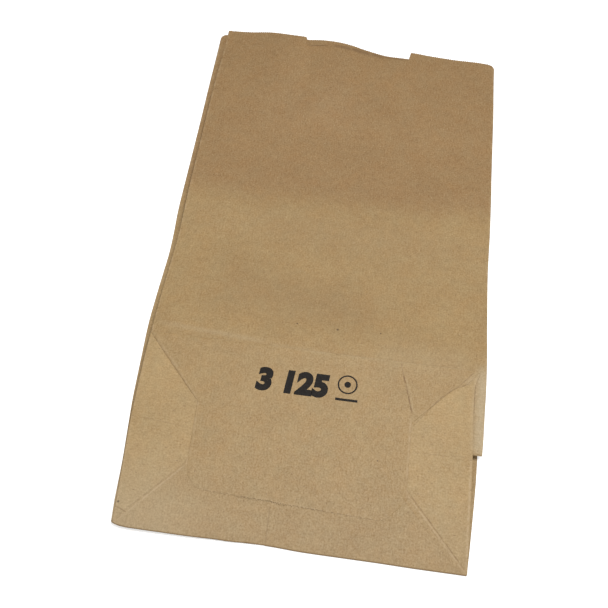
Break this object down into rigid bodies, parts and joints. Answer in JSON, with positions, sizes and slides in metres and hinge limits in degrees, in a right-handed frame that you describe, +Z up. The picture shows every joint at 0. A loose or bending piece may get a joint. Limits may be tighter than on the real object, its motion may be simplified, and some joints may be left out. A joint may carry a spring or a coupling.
{
  "type": "paper lunch bag",
  "caption": "Brown kraft paper lunch bag with side gussets, a square bottom and a thumb notch, folded flat.",
  "frame": {"origin": "on the table, under the middle of the bag's outline as it lies folded", "axes": "+X across the bag, +Y from the bottom fold to the mouth, +Z up out of the front panel"},
  "size_m": [0.1586, 0.284, 0.0089],
  "materials": {
    "kraft_paper": "uncoated unbleached kraft paper, dull, fine fibre flecks",
    "ink": "thin black printing ink on the paper, dull"
  },
  "bodies": {
    "root": {"paper_bag": "kraft_paper"}
  },
  "joints": []
}
